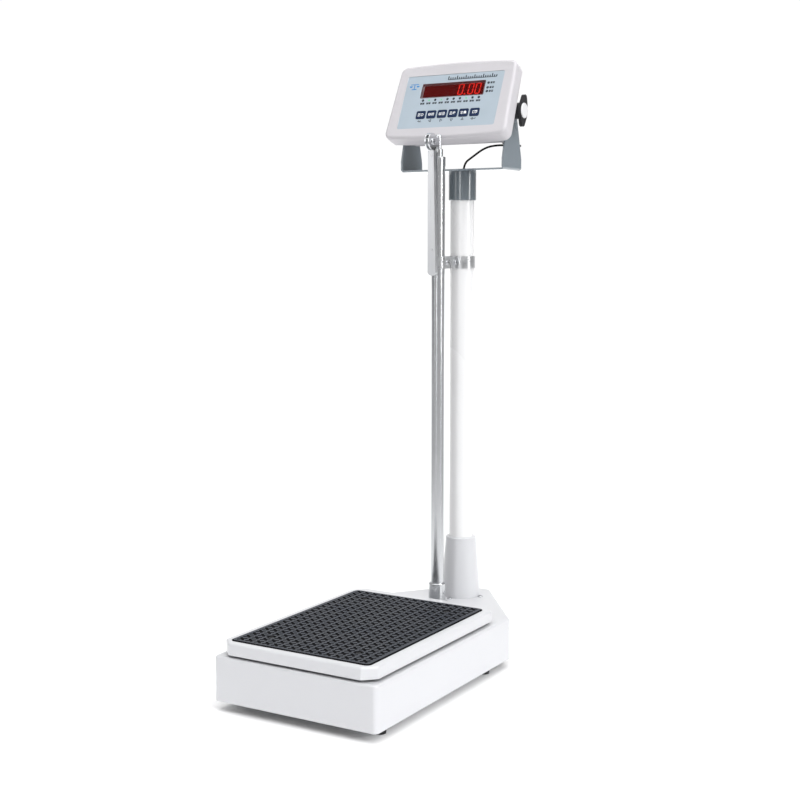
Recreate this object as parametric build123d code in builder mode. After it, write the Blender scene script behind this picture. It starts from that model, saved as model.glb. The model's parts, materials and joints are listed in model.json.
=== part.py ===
from build123d import *
import os
from math import atan, cos, degrees, radians, sin, tan

# Physician's electronic scale with a folding, telescopic height rod.
# Millimetres. The origin is on the floor, under the middle of the base; the person stands on the
# platform, which reaches towards -Y, and the column stands on the tail of the base, towards +Y.

os.makedirs("parts", exist_ok=True)

# ---------------------------------------------------------------- driving dimensions
# base
base_width = 280.0
base_length = 554.0
box_length = 405.0            # straight-sided length of the base, in front of its tail
tail_width = 56.0             # width of the tail at its rear end
base_height = 68.0
foot_height = 15.0
base_sheet = 2.0
base_corner = 7.0
base_edge = 4.0
# platform
tray_width = 264.0
tray_length = 375.0
tray_setback = 1.0            # front edge of the tray behind the front of the base
tray_gap = 4.0                # tray above the base
tray_height = 18.0
tray_sheet = 1.5
tray_corner = 18.0
mat_width = 240.0
mat_length = 342.0
mat_thickness = 3.0
mat_sink = 1.5                # depth of the recess that holds the mat
mat_shift = 5.0               # middle of the mat ahead of the tray's middle
mat_corner = 8.0
platform_screw_spacing = (152.0, 257.0)
# column
column_y = 221.0
column_radius = 20.0
column_wall = 1.5
socket_height = 103.0
socket_base_radius = 33.5
socket_top_radius = 25.5
collar_radius = 23.0
collar_height = 47.0
column_top = 800.0            # underside of the bracket
# bracket and tilt pivot
bracket_y = 214.0
bracket_sheet = 3.0
bracket_half_width = 95.4
bracket_depth = 62.0
arm_foot_depth = 66.0
arm_head_radius = 13.0
pivot_z = 894.0
# indicator
face_tilt = 24.1              # degrees, top leaning back
pivot_depth = 41.5            # pivot behind the front face
bezel_bottom_half = 112.0
bezel_top_half = 107.0
bezel_bottom = -61.0          # below the pivot's height on the face
bezel_top = 70.0
bezel_crown = 4.0
bezel_corner = 12.0
front_shell_depth = 18.0
rim_depth = 26.0
rear_depth = 62.0
rear_half_width = 89.0
rear_bottom = -47.0
rear_top = 57.0
# height rod
rod_y = 139.0
outer_radius = 11.0
outer_bore = 9.6
middle_radius = 7.0
middle_bore = 5.8
inner_radius = 5.0
inner_bore = 3.8
outer_top = 805.0
outer_collar_top = 820.0
middle_collar_top = 832.5
rod_socket_top = 121.0
head_top = 855.0
arm_pivot_z = 843.0
arm_pivot_ahead = 24.5        # pivot in front of the rod's axis
barrel_radius = 13.25
barrel_width = 8.5
arm_length = 213.0            # from the pivot to the arm's tip
running = 0.06                # radial clearance of a turning or sliding fit
# clamp that holds the rod to the column
clamp_z = 641.0
clamp_height = 20.0
clamp_sheet = 1.8
clamp_gap = 0.8
# signal cable
cable_radius = 1.7

# ---------------------------------------------------------------- derived places
front_y = -base_length / 2
box_rear_y = front_y + box_length
base_bottom = foot_height
base_top = base_bottom + base_height
tray_bottom = base_top + tray_gap
tray_top = tray_bottom + tray_height
tray_y = front_y + tray_setback + tray_length / 2
mat_y = tray_y - mat_shift
mat_floor = tray_top - mat_sink
spider_top = mat_floor - tray_sheet
platform_screw_places = GridLocations(*platform_screw_spacing, 2, 2).local_locations
platform_screw_points = [(p.position.X, p.position.Y + mat_y) for p in platform_screw_places]


def keep(piece, name):
    """Label a finished piece and write it to its own file."""
    piece.part.label = name
    export_step(piece.part, f"parts/{name}.step")


def pan_screw(head_radius, head_height, shank_radius, shank_length):
    """Pan-head screw with a cross recess, its head's seat at the origin and its shank down -Z."""
    with BuildPart(mode=Mode.PRIVATE) as screw:
        Cylinder(head_radius, head_height, align=(Align.CENTER, Align.CENTER, Align.MIN))
        fillet(screw.edges().sort_by(Axis.Z)[-1], head_height * 0.6)
        for turn in (0, 90):
            with Locations(Pos(0, 0, head_height) * Rot(0, 0, turn)):
                Box(head_radius, head_radius * 0.22, head_height, mode=Mode.SUBTRACT)
        Cylinder(shank_radius, shank_length, align=(Align.CENTER, Align.CENTER, Align.MAX))
    return screw.part


def hex_bolt(across, head_height, shank_radius, shank_length):
    """Hexagon bolt, its head's seat at the origin and its shank down -Z."""
    with BuildPart(mode=Mode.PRIVATE) as bolt:
        with BuildSketch():
            RegularPolygon(across / 2, 6, major_radius=False)
        extrude(amount=head_height)
        Cylinder(shank_radius, shank_length, align=(Align.CENTER, Align.CENTER, Align.MAX))
    return bolt.part


# ================================================================ base
with BuildSketch() as base_plan:
    with BuildLine():
        Polyline(
            (-base_width / 2, front_y),
            (base_width / 2, front_y),
            (base_width / 2, box_rear_y),
            (tail_width / 2, -front_y),
            (-tail_width / 2, -front_y),
            (-base_width / 2, box_rear_y),
            close=True,
        )
    make_face()
    fillet(base_plan.vertices(), base_corner)

cell_length = 130.0
cell_width = 30.0
cell_height = 22.0
cell_bottom = 28.0
cell_top = cell_bottom + cell_height
cell_bolt_inset = 12.5
cell_bolt_pitch = 25.0
fixed_y = tray_y + cell_length / 2 - cell_bolt_inset - cell_bolt_pitch / 2
free_y = tray_y - cell_length / 2 + cell_bolt_inset + cell_bolt_pitch / 2
cell_bolt_radius = 4.0
cell_bolt_hole = 4.2
cell_bolt_across = 12.0
pad_size = 38.0
housing_opening = 52.0        # square opening in the housing over the load cell's free end
column_bore = column_radius - column_wall
base_screw_circle = 38.0
base_screw_hole = 2.7
plate_thickness = 6.0

with BuildPart() as base_housing:
    with BuildSketch(Plane.XY.offset(base_bottom)):
        add(base_plan.sketch)
    extrude(amount=base_height)
    fillet(base_housing.faces().sort_by(Axis.Z)[-1].edges(), base_edge)
    with BuildSketch(Plane.XY.offset(base_bottom)):
        offset(base_plan.sketch, amount=-base_sheet)
    extrude(amount=base_height - base_sheet, mode=Mode.SUBTRACT)
    with Locations((0, free_y, base_top)):
        Box(housing_opening, housing_opening, 3 * base_sheet, mode=Mode.SUBTRACT)
    with Locations((0, column_y, base_top)):
        Hole(column_bore, 2 * base_sheet)
    with Locations((0, column_y, base_top)):
        with PolarLocations(base_screw_circle, 4):
            Hole(base_screw_hole, 2 * base_sheet)
keep(base_housing, "base_housing")

rail_width = 34.0
rail_height = 26.0
rail_wall = 2.5
rail_end_gap = 8.0            # between the rails' rear ends and the rear of the box
rail_x = base_width / 2 - base_sheet - rail_width / 2
foot_x = 117.0
foot_setback = 45.0           # front feet behind the front edge
foot_spacing = 315.0
foot_front_y = front_y + foot_setback
foot_rear_y = foot_front_y + foot_spacing
rail_front_y = front_y + base_sheet + base_corner
rail_rear_y = box_rear_y - rail_end_gap
beam_depth = 40.0
spine_width = 60.0
frame_bars = [
    (x, (rail_front_y + rail_rear_y) / 2, rail_width, rail_rear_y - rail_front_y)
    for x in (-rail_x, rail_x)
]
frame_bars += [(0, y, 2 * rail_x, beam_depth) for y in (foot_front_y, foot_rear_y)]
frame_bars += [(0, (foot_front_y + foot_rear_y) / 2, spine_width, foot_rear_y - foot_front_y)]
foot_points = [(x, y) for y in (foot_front_y, foot_rear_y) for x in (-foot_x, foot_x)]
foot_screw_hole = 3.2
upright_width = 40.0

with BuildPart() as base_frame:
    for x, y, width, depth in frame_bars:
        with Locations((x, y, base_bottom)):
            Box(width, depth, rail_height, align=(Align.CENTER, Align.CENTER, Align.MIN))
    for x, y, width, depth in frame_bars:
        with Locations((x, y, base_bottom + rail_wall)):
            Box(
                width - 2 * rail_wall,
                depth - 2 * rail_wall,
                rail_height,
                align=(Align.CENTER, Align.CENTER, Align.MIN),
                mode=Mode.SUBTRACT,
            )
    with Locations((0, fixed_y, base_bottom)):
        Box(pad_size, pad_size, cell_bottom - base_bottom,
            align=(Align.CENTER, Align.CENTER, Align.MIN))
    with Locations((0, fixed_y, cell_bottom)):
        with GridLocations(0, cell_bolt_pitch, 1, 2):
            Hole(cell_bolt_hole, cell_bottom)
    for x in (-spine_width, spine_width):
        with Locations((x, foot_rear_y + beam_depth / 2 - rail_wall / 2, base_bottom)):
            Box(upright_width, rail_wall, base_height - base_sheet,
                align=(Align.CENTER, Align.CENTER, Align.MIN))
    with BuildSketch(Plane.XY.offset(base_top - base_sheet - plate_thickness)):
        offset(base_plan.sketch, amount=-base_sheet)
        with Locations((0, front_y)):
            Rectangle(2 * base_width, 2 * (foot_rear_y + beam_depth / 2 - rail_wall - front_y),
                      mode=Mode.SUBTRACT)
        with Locations((0, column_y)):
            Circle(column_bore, mode=Mode.SUBTRACT)
            with PolarLocations(base_screw_circle, 4):
                Circle(base_screw_hole, mode=Mode.SUBTRACT)
    extrude(amount=plate_thickness)
    for x, y in foot_points:
        with Locations((x, y, base_bottom)):
            Cylinder(foot_screw_hole, 4 * rail_wall, mode=Mode.SUBTRACT)
keep(base_frame, "base_frame")

# Bending-beam load cell: fixed at its rear end, carrying the platform at its front end.
cell_edge = 1.5
cell_slot = (26.0, 14.0)      # length between the ends' centres and height of the slot
cell_bolt_head = 4.0
cell_bolt_grip = 18.0         # length of the bolt inside the cell
with BuildPart() as load_cell:
    with Locations((0, tray_y, cell_bottom)):
        Box(cell_width, cell_length, cell_height, align=(Align.CENTER, Align.CENTER, Align.MIN))
    fillet(load_cell.edges().filter_by(Axis.Z), cell_edge)
    with BuildSketch(Plane.YZ):
        with Locations((tray_y, (cell_bottom + cell_top) / 2)):
            SlotCenterToCenter(*cell_slot)
    extrude(amount=cell_width, both=True, mode=Mode.SUBTRACT)
    with Locations((0, fixed_y, cell_top), (0, free_y, cell_top)):
        with GridLocations(0, cell_bolt_pitch, 1, 2):
            Hole(cell_bolt_hole, cell_height)
keep(load_cell, "load_cell")

with BuildPart() as load_cell_bolts:
    with Locations(Pos(0, fixed_y, base_bottom) * Rot(180, 0, 0)):
        with GridLocations(0, cell_bolt_pitch, 1, 2):
            add(hex_bolt(cell_bolt_across, cell_bolt_head, cell_bolt_radius,
                         cell_bottom - base_bottom + cell_bolt_grip))
keep(load_cell_bolts, "load_cell_bolts")

foot_top_radius = 11.0
foot_bottom_radius = 9.0
foot_names = ("front_left", "front_right", "rear_left", "rear_right")
pocket_radius = 6.5
pocket_depth = 6.0
foot_screw = (5.5, 3.5, 3.0)  # head radius, head height and shank radius
foot_screw_grip = 8.0
for name, (x, y) in zip(foot_names, foot_points):
    with BuildPart() as rubber_foot:
        with BuildSketch(Plane((x, y, 0), x_dir=(1, 0, 0), z_dir=(0, -1, 0))):
            with BuildLine():
                Polyline(
                    (foot_screw_hole, pocket_depth),
                    (pocket_radius, pocket_depth),
                    (pocket_radius, 0),
                    (foot_bottom_radius, 0),
                    (foot_top_radius, foot_height),
                    (foot_screw_hole, foot_height),
                    close=True,
                )
            make_face()
        revolve(axis=Axis((x, y, 0), (0, 0, 1)))
    keep(rubber_foot, f"rubber_foot_{name}")

with BuildPart() as foot_screws:
    for x, y in foot_points:
        with Locations(Pos(x, y, pocket_depth) * Rot(180, 0, 0)):
            add(pan_screw(*foot_screw, foot_height - pocket_depth + foot_screw_grip))
keep(foot_screws, "foot_screws")

# ================================================================ column
socket_rim = 2.5
cap_thickness = 4.0
base_screw = (4.2, 2.4, 2.5)
base_screw_end = 4.0          # length of the screw below the plate
with BuildPart() as column_socket:
    with BuildSketch(Plane((0, column_y, 0), x_dir=(1, 0, 0), z_dir=(0, -1, 0))) as profile:
        with BuildLine():
            Polyline(
                (column_radius, base_top),
                (socket_base_radius, base_top),
                (socket_top_radius, base_top + socket_height),
                (column_radius, base_top + socket_height),
                close=True,
            )
        make_face()
        fillet(profile.vertices().group_by(Axis.Y)[-1].sort_by(Axis.X)[-1], socket_rim)
    revolve(axis=Axis((0, column_y, 0), (0, 0, 1)))
keep(column_socket, "column_socket")

with BuildPart() as column_tube:
    with BuildSketch(Plane.XY.offset(base_top)):
        with Locations((0, column_y)):
            Circle(column_radius)
            Circle(column_bore, mode=Mode.SUBTRACT)
    extrude(amount=column_top - cap_thickness - base_top)
keep(column_tube, "column_tube")

with BuildPart() as column_base_screws:
    with Locations((0, column_y, base_top)):
        with PolarLocations(base_screw_circle, 4):
            add(pan_screw(*base_screw, base_sheet + plate_thickness + base_screw_end))
keep(column_base_screws, "column_base_screws")

cable_hole_y = 224.0
cable_hole_radius = 7.0
bracket_screw_x = 14.0
bracket_screw_hole = 2.2
bracket_screw = (4.0, 2.2, 2.0)
bracket_screw_end = 3.0
collar_edge = 0.8
with BuildPart() as column_collar:
    with Locations((0, column_y, column_top)):
        Cylinder(collar_radius, collar_height, align=(Align.CENTER, Align.CENTER, Align.MAX))
    fillet(column_collar.edges().sort_by(Axis.Z)[0], collar_edge)
    with Locations((0, column_y, column_top - cap_thickness)):
        Cylinder(column_radius, collar_height, align=(Align.CENTER, Align.CENTER, Align.MAX),
                 mode=Mode.SUBTRACT)
    with Locations((0, cable_hole_y, column_top)):
        Hole(cable_hole_radius, cap_thickness)
    with Locations((0, column_y, column_top)):
        with GridLocations(2 * bracket_screw_x, 0, 2, 1):
            Hole(bracket_screw_hole, cap_thickness)
keep(column_collar, "column_collar")

# U-shaped bracket: a flat web across the column and two arms that taper up to the tilt pivots.
pivot_hole_radius = 3.3
bend_radius = 4.0
arm_foot_corner = 6.0
arm_inside = bracket_half_width - bracket_sheet
with BuildPart() as indicator_bracket:
    with Locations((0, bracket_y, column_top)):
        Box(2 * bracket_half_width, bracket_depth, bracket_sheet,
            align=(Align.CENTER, Align.CENTER, Align.MIN))
    for x in (-bracket_half_width, arm_inside):
        with BuildSketch(Plane.YZ.offset(x)) as arm:
            with Locations((bracket_y, column_top)):
                Rectangle(arm_foot_depth, 3 * arm_foot_corner, align=(Align.CENTER, Align.MIN))
            with Locations((bracket_y, pivot_z)):
                Circle(arm_head_radius)
            make_hull()
            fillet(arm.vertices().group_by(Axis.Y)[0], arm_foot_corner)
            with Locations((bracket_y, pivot_z)):
                Circle(pivot_hole_radius, mode=Mode.SUBTRACT)
        extrude(amount=bracket_sheet)
    outer_bends = indicator_bracket.edges().filter_by(Axis.Y).group_by(Axis.Z)[0]
    fillet(outer_bends.filter_by(lambda edge: abs(edge.center().X) > arm_inside), bend_radius)
    with Locations((0, cable_hole_y, column_top + bracket_sheet)):
        Hole(cable_hole_radius, bracket_sheet)
    with Locations((0, column_y, column_top + bracket_sheet)):
        with GridLocations(2 * bracket_screw_x, 0, 2, 1):
            Hole(bracket_screw_hole, bracket_sheet)
keep(indicator_bracket, "indicator_bracket")

with BuildPart() as bracket_screws:
    with Locations((0, column_y, column_top + bracket_sheet)):
        with GridLocations(2 * bracket_screw_x, 0, 2, 1):
            add(pan_screw(*bracket_screw, bracket_sheet + cap_thickness + bracket_screw_end))
keep(bracket_screws, "bracket_screws")

grommet_lip = 2.0
grommet_edge = 1.2
with BuildPart() as cable_grommet:
    with Locations((0, cable_hole_y, column_top - cap_thickness)):
        Cylinder(cable_hole_radius, cap_thickness + bracket_sheet,
                 align=(Align.CENTER, Align.CENTER, Align.MIN))
    with Locations((0, cable_hole_y, column_top + bracket_sheet)):
        Cylinder(cable_hole_radius + grommet_lip, grommet_lip,
                 align=(Align.CENTER, Align.CENTER, Align.MIN))
    fillet(cable_grommet.edges().sort_by(Axis.Z)[-1], grommet_edge)
    with Locations((0, cable_hole_y, column_top + bracket_sheet + grommet_lip)):
        Hole(cable_radius + running)
keep(cable_grommet, "cable_grommet")

# ================================================================ platform
post_width = 32.0
spider_gap = 7.0              # between the base and the spider's rails
rail_section = (24.0, spider_top - base_top - spider_gap)
spider_wall = 2.5
spider_bottom = spider_top - rail_section[1]
spider_rail_end = 14.0        # rail beyond the screws at each end
spider_rail_length = platform_screw_spacing[1] + 2 * spider_rail_end
centre_plate = (platform_screw_spacing[0], 124.0, 4.0)
screw_clear = 2.7
mat_hole_radius = 5.0
platform_screw = (4.5, 2.2, 2.5)
platform_screw_grip = 6.0
spider_bolt_head = 5.0
spider_bolt_gap = 5.0         # between the bolt's end and the underside of the cell
tray_edge = 4.0
recess_gap = 1.0              # recess longer and wider than the mat
mat_edge = 0.8

with BuildPart() as platform_tray:
    with BuildSketch(Plane.XY.offset(tray_bottom)) as tray_plan:
        with Locations((0, tray_y)):
            Rectangle(tray_width, tray_length)
        chamfer(tray_plan.vertices(), tray_corner)
        fillet(tray_plan.vertices(), tray_edge)
    extrude(amount=tray_height)
    fillet(platform_tray.faces().sort_by(Axis.Z)[-1].edges(), tray_edge)
    with BuildSketch(Plane.XY.offset(tray_bottom)):
        offset(tray_plan.sketch, amount=-tray_sheet)
    extrude(amount=tray_height - mat_sink - tray_sheet, mode=Mode.SUBTRACT)
    with BuildSketch(Plane.XY.offset(mat_floor)) as recess:
        with Locations((0, mat_y)):
            Rectangle(mat_width + recess_gap, mat_length + recess_gap)
        fillet(recess.vertices(), mat_corner + recess_gap / 2)
    extrude(amount=2 * mat_sink, mode=Mode.SUBTRACT)
    with Locations(*[(x, y, mat_floor) for x, y in platform_screw_points]):
        Hole(screw_clear, 3 * tray_sheet)
keep(platform_tray, "platform_tray")

with BuildPart() as platform_spider:
    for x in (-platform_screw_spacing[0] / 2, platform_screw_spacing[0] / 2):
        with Locations((x, mat_y, spider_bottom)):
            Box(rail_section[0], spider_rail_length, rail_section[1],
                align=(Align.CENTER, Align.CENTER, Align.MIN))
        with Locations((x, mat_y, spider_bottom)):
            Box(rail_section[0] - 2 * spider_wall, spider_rail_length - 2 * spider_wall,
                rail_section[1] - spider_wall,
                align=(Align.CENTER, Align.CENTER, Align.MIN), mode=Mode.SUBTRACT)
    with Locations((0, tray_y, spider_bottom)):
        Box(centre_plate[0] - rail_section[0], centre_plate[1], centre_plate[2],
            align=(Align.CENTER, Align.CENTER, Align.MIN))
    with Locations((0, free_y, cell_top)):
        Box(post_width, pad_size, spider_bottom - cell_top,
            align=(Align.CENTER, Align.CENTER, Align.MIN))
    with Locations((0, free_y, spider_bottom + centre_plate[2])):
        with GridLocations(0, cell_bolt_pitch, 1, 2):
            Hole(cell_bolt_hole, spider_top - cell_top)
    with Locations(*[(x, y, spider_top) for x, y in platform_screw_points]):
        Hole(screw_clear, spider_wall)
keep(platform_spider, "platform_spider")

with BuildPart() as rubber_mat:
    with BuildSketch(Plane.XY.offset(mat_floor)) as mat_plan:
        with Locations((0, mat_y)):
            Rectangle(mat_width, mat_length)
        fillet(mat_plan.vertices(), mat_corner)
        with Locations(*platform_screw_points):
            Circle(mat_hole_radius, mode=Mode.SUBTRACT)
    extrude(amount=mat_thickness)
    chamfer(rubber_mat.faces().sort_by(Axis.Z)[-1].outer_wire().edges(), mat_edge)
keep(rubber_mat, "rubber_mat")

with BuildPart() as platform_screws:
    with Locations(*[(x, y, mat_floor) for x, y in platform_screw_points]):
        add(pan_screw(*platform_screw, 2 * tray_sheet + platform_screw_grip))
keep(platform_screws, "platform_screws")

with BuildPart() as spider_bolts:
    with Locations((0, free_y, spider_bottom + centre_plate[2])):
        with GridLocations(0, cell_bolt_pitch, 1, 2):
            add(hex_bolt(cell_bolt_across, spider_bolt_head, cell_bolt_radius,
                         spider_bottom + centre_plate[2] - cell_bottom - spider_bolt_gap))
keep(spider_bolts, "spider_bolts")

# ================================================================ height rod
def rod_ring(outer, inner, bottom, top):
    """Tube or ring around the rod's axis."""
    with BuildPart(mode=Mode.PRIVATE) as ring:
        with BuildSketch(Plane.XY.offset(bottom)):
            with Locations((0, rod_y)):
                Circle(outer)
                Circle(inner, mode=Mode.SUBTRACT)
        extrude(amount=top - bottom)
    return ring.part


socket_bottom = 3.0           # thickness of the socket's bottom
socket_floor = base_top + socket_bottom
sleeve_edge = 1.5
sleeve_radius = 14.0
flange_radius = 17.0
flange_height = 6.0
grub_z = 105.0
grub_radius = 2.5
grub_proud = 1.0
grub_slot = 0.8
with BuildPart() as rod_socket:
    with Locations((0, rod_y, base_top)):
        Cylinder(sleeve_radius, rod_socket_top - base_top,
                 align=(Align.CENTER, Align.CENTER, Align.MIN))
    fillet(rod_socket.edges().sort_by(Axis.Z)[-1], sleeve_edge)
    with Locations((0, rod_y, base_top)):
        Cylinder(flange_radius, flange_height, align=(Align.CENTER, Align.CENTER, Align.MIN))
    with Locations((0, rod_y, socket_floor)):
        Cylinder(outer_radius, rod_socket_top, align=(Align.CENTER, Align.CENTER, Align.MIN),
                 mode=Mode.SUBTRACT)
    with Locations(Pos(outer_radius, rod_y, grub_z) * Rot(0, 90, 0)):
        Cylinder(grub_radius, sleeve_radius, mode=Mode.SUBTRACT)
keep(rod_socket, "rod_socket")

with BuildPart() as rod_socket_screw:
    with Locations(Pos(outer_radius, rod_y, grub_z) * Rot(0, 90, 0)):
        Cylinder(grub_radius, sleeve_radius - outer_radius + grub_proud,
                 align=(Align.CENTER, Align.CENTER, Align.MIN))
    with Locations((sleeve_radius + grub_proud, rod_y, grub_z)):
        Box(2 * grub_proud, 2 * grub_radius, grub_slot, mode=Mode.SUBTRACT)
keep(rod_socket_screw, "rod_socket_screw")

with BuildPart() as outer_rod_tube:
    add(rod_ring(outer_radius, outer_bore, socket_floor, outer_top))
keep(outer_rod_tube, "outer_rod_tube")

collar_spigot = 15.0
collar_lip = 0.8
outer_collar_edge = 1.2
with BuildPart() as outer_rod_collar:
    add(rod_ring(outer_radius + collar_lip, middle_radius + running, outer_top, outer_collar_top))
    fillet(outer_rod_collar.edges().group_by(Axis.Z)[-1].sort_by(SortBy.LENGTH)[-1],
           outer_collar_edge)
    add(rod_ring(outer_bore, middle_radius + running, outer_top - collar_spigot, outer_top))
keep(outer_rod_collar, "outer_rod_collar")

middle_bottom = 100.0
middle_top = 821.5
guide_length = 12.0
with BuildPart() as middle_rod_tube:
    add(rod_ring(middle_radius, middle_bore, middle_bottom, middle_top))
keep(middle_rod_tube, "middle_rod_tube")

with BuildPart() as middle_rod_guide:
    add(rod_ring(outer_bore - running, middle_radius, middle_bottom, middle_bottom + guide_length))
keep(middle_rod_guide, "middle_rod_guide")

middle_spigot = 10.0
middle_collar_lip = 0.5
middle_collar_edge = 0.8
with BuildPart() as middle_rod_collar:
    add(rod_ring(middle_radius + middle_collar_lip, inner_radius + running, middle_top,
                 middle_collar_top))
    fillet(middle_rod_collar.edges().group_by(Axis.Z)[-1].sort_by(SortBy.LENGTH)[-1],
           middle_collar_edge)
    add(rod_ring(middle_bore, inner_radius + running, middle_top - middle_spigot, middle_top))
keep(middle_rod_collar, "middle_rod_collar")

inner_bottom = 112.0
head_gap = 0.5                # between the middle rod's collar and the hinge head
inner_top = middle_collar_top + head_gap
with BuildPart() as inner_rod_tube:
    add(rod_ring(inner_radius, inner_bore, inner_bottom, inner_top))
keep(inner_rod_tube, "inner_rod_tube")

with BuildPart() as inner_rod_guide:
    add(rod_ring(middle_bore - running, inner_radius, inner_bottom, inner_bottom + guide_length))
keep(inner_rod_guide, "inner_rod_guide")

# Hinge head on the inner rod: a slotted barrel, open below and in front for the arm's tongue.
pivot_y = rod_y - arm_pivot_ahead
pivot_pin_radius = 3.0
tongue_width = 4.0
tongue_eye_radius = 9.0
tongue_side_gap = 0.2
tongue_end_gap = 0.8
slot_width = tongue_width + 2 * tongue_side_gap
slot_reach = tongue_eye_radius + tongue_end_gap
head_spigot = 12.0
web_height = 14.0
head_edge = 2.0
pivot_screw_head = (5.5, 2.2)
pivot_rivet_head = (4.5, 1.2)
with BuildPart() as rod_head:
    with BuildSketch(Plane.YZ.offset(-barrel_width / 2)):
        with Locations((pivot_y, arm_pivot_z)):
            Circle(barrel_radius)
        with Locations(((pivot_y + rod_y) / 2, arm_pivot_z)):
            Rectangle(rod_y - pivot_y, web_height)
    extrude(amount=barrel_width)
    with Locations((0, rod_y, inner_top)):
        Cylinder(inner_radius, head_top - inner_top, align=(Align.CENTER, Align.CENTER, Align.MIN))
    fillet(rod_head.edges().sort_by(Axis.Z)[-1], head_edge)
    with Locations((0, rod_y, inner_top)):
        Cylinder(inner_bore, head_spigot, align=(Align.CENTER, Align.CENTER, Align.MAX))
    with Locations((0, pivot_y + slot_reach, arm_pivot_z + slot_reach)):
        Box(slot_width, 3 * slot_reach, 3 * slot_reach,
            align=(Align.CENTER, Align.MAX, Align.MAX), mode=Mode.SUBTRACT)
    with Locations(Pos(0, pivot_y, arm_pivot_z) * Rot(0, 90, 0)):
        Cylinder(pivot_pin_radius, 2 * barrel_width, mode=Mode.SUBTRACT)
keep(rod_head, "rod_head")

with BuildPart() as arm_pivot_screw:
    with Locations(Pos(barrel_width / 2, pivot_y, arm_pivot_z) * Rot(0, 90, 0)):
        add(pan_screw(*pivot_screw_head, pivot_pin_radius, barrel_width))
    with Locations(Pos(-barrel_width / 2, pivot_y, arm_pivot_z) * Rot(0, -90, 0)):
        Cylinder(*pivot_rivet_head, align=(Align.CENTER, Align.CENTER, Align.MIN))
keep(arm_pivot_screw, "arm_pivot_screw")

# Measuring arm: a folded channel, open towards the rod, that widens towards its tip.
arm_top_drop = 14.0           # top of the channel below the pivot
arm_top_z = arm_pivot_z - arm_top_drop
arm_tip_z = arm_pivot_z - arm_length
arm_top_width = 10.4
arm_tip_width = 14.6
arm_top_front = 114.0
arm_tip_front = 117.5
arm_depth = 8.0
arm_wall = 1.2
arm_run = arm_top_z - arm_tip_z


def arm_width(z):
    """Width of the measuring arm at a height."""
    return arm_top_width + (arm_tip_width - arm_top_width) * (arm_top_z - z) / arm_run


def arm_front(z):
    """Front face of the measuring arm at a height."""
    return arm_top_front + (arm_tip_front - arm_top_front) * (arm_top_z - z) / arm_run


def arm_block(inset, bottom, corner):
    """Tapering block between the arm's ends, its sides, front and tip moved in by an inset."""
    with BuildPart(mode=Mode.PRIVATE) as block:
        for z in (arm_top_z, bottom):
            with BuildSketch(Plane.XY.offset(z)):
                with Locations((0, arm_front(z) + inset + arm_depth / 2)):
                    Rectangle(arm_width(z) - 2 * inset, arm_depth)
        loft(ruled=True)
        fillet(block.edges().filter_by(Axis.Y).group_by(Axis.Z)[0], corner)
    return block.part


arm_tip_corner = 5.5
arm_lean = degrees(atan((arm_tip_front - arm_top_front) / arm_run))
rivet_insets = (8.0, 42.0)    # from the channel's top and from its tip
rivet_places = (arm_top_z - rivet_insets[0], arm_tip_z + rivet_insets[1])
rivet_radius = 1.2
rivet_head_radius = 2.4
rivet_head_height = 1.1
with BuildPart() as measuring_arm:
    add(arm_block(0.0, arm_tip_z, arm_tip_corner))
    add(arm_block(arm_wall, arm_tip_z + arm_wall, arm_tip_corner - arm_wall), mode=Mode.SUBTRACT)
    for z in rivet_places:
        with Locations(Pos(0, arm_front(z), z) * Rot(90 + arm_lean, 0, 0)):
            Cylinder(rivet_radius, 4 * arm_wall, mode=Mode.SUBTRACT)
keep(measuring_arm, "measuring_arm")

tongue_overlap = 29.0         # length of the tongue inside the channel
tongue_inset = 0.2            # tongue's back in front of the channel's open side
tongue_bottom = arm_top_z - tongue_overlap
tongue_back = arm_top_front + arm_depth - tongue_inset
with BuildPart() as arm_tongue:
    with BuildSketch(Plane.YZ.offset(-tongue_width / 2)):
        with Locations((pivot_y, arm_pivot_z)):
            Circle(tongue_eye_radius)
        with BuildLine():
            Polyline(
                (arm_front(arm_pivot_z) + arm_wall, arm_pivot_z),
                (arm_front(tongue_bottom) + arm_wall, tongue_bottom),
                (tongue_back, tongue_bottom),
                (tongue_back, arm_pivot_z),
                close=True,
            )
        make_face()
        with Locations((pivot_y, arm_pivot_z)):
            Circle(pivot_pin_radius + running, mode=Mode.SUBTRACT)
    extrude(amount=tongue_width)
    with Locations(Pos(0, arm_front(rivet_places[0]), rivet_places[0])
                   * Rot(90 + arm_lean, 0, 0)):
        Cylinder(rivet_radius, 4 * arm_depth, mode=Mode.SUBTRACT)
keep(arm_tongue, "arm_tongue")

rivet_lengths = (arm_depth, 2 * arm_wall)
with BuildPart() as arm_rivets:
    for z, length in zip(rivet_places, rivet_lengths):
        with Locations(Pos(0, arm_front(z), z) * Rot(90 + arm_lean, 0, 0)):
            Cylinder(rivet_head_radius, rivet_head_height,
                     align=(Align.CENTER, Align.CENTER, Align.MIN))
            Cylinder(rivet_radius, length, align=(Align.CENTER, Align.CENTER, Align.MAX))
keep(arm_rivets, "arm_rivets")

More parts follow.
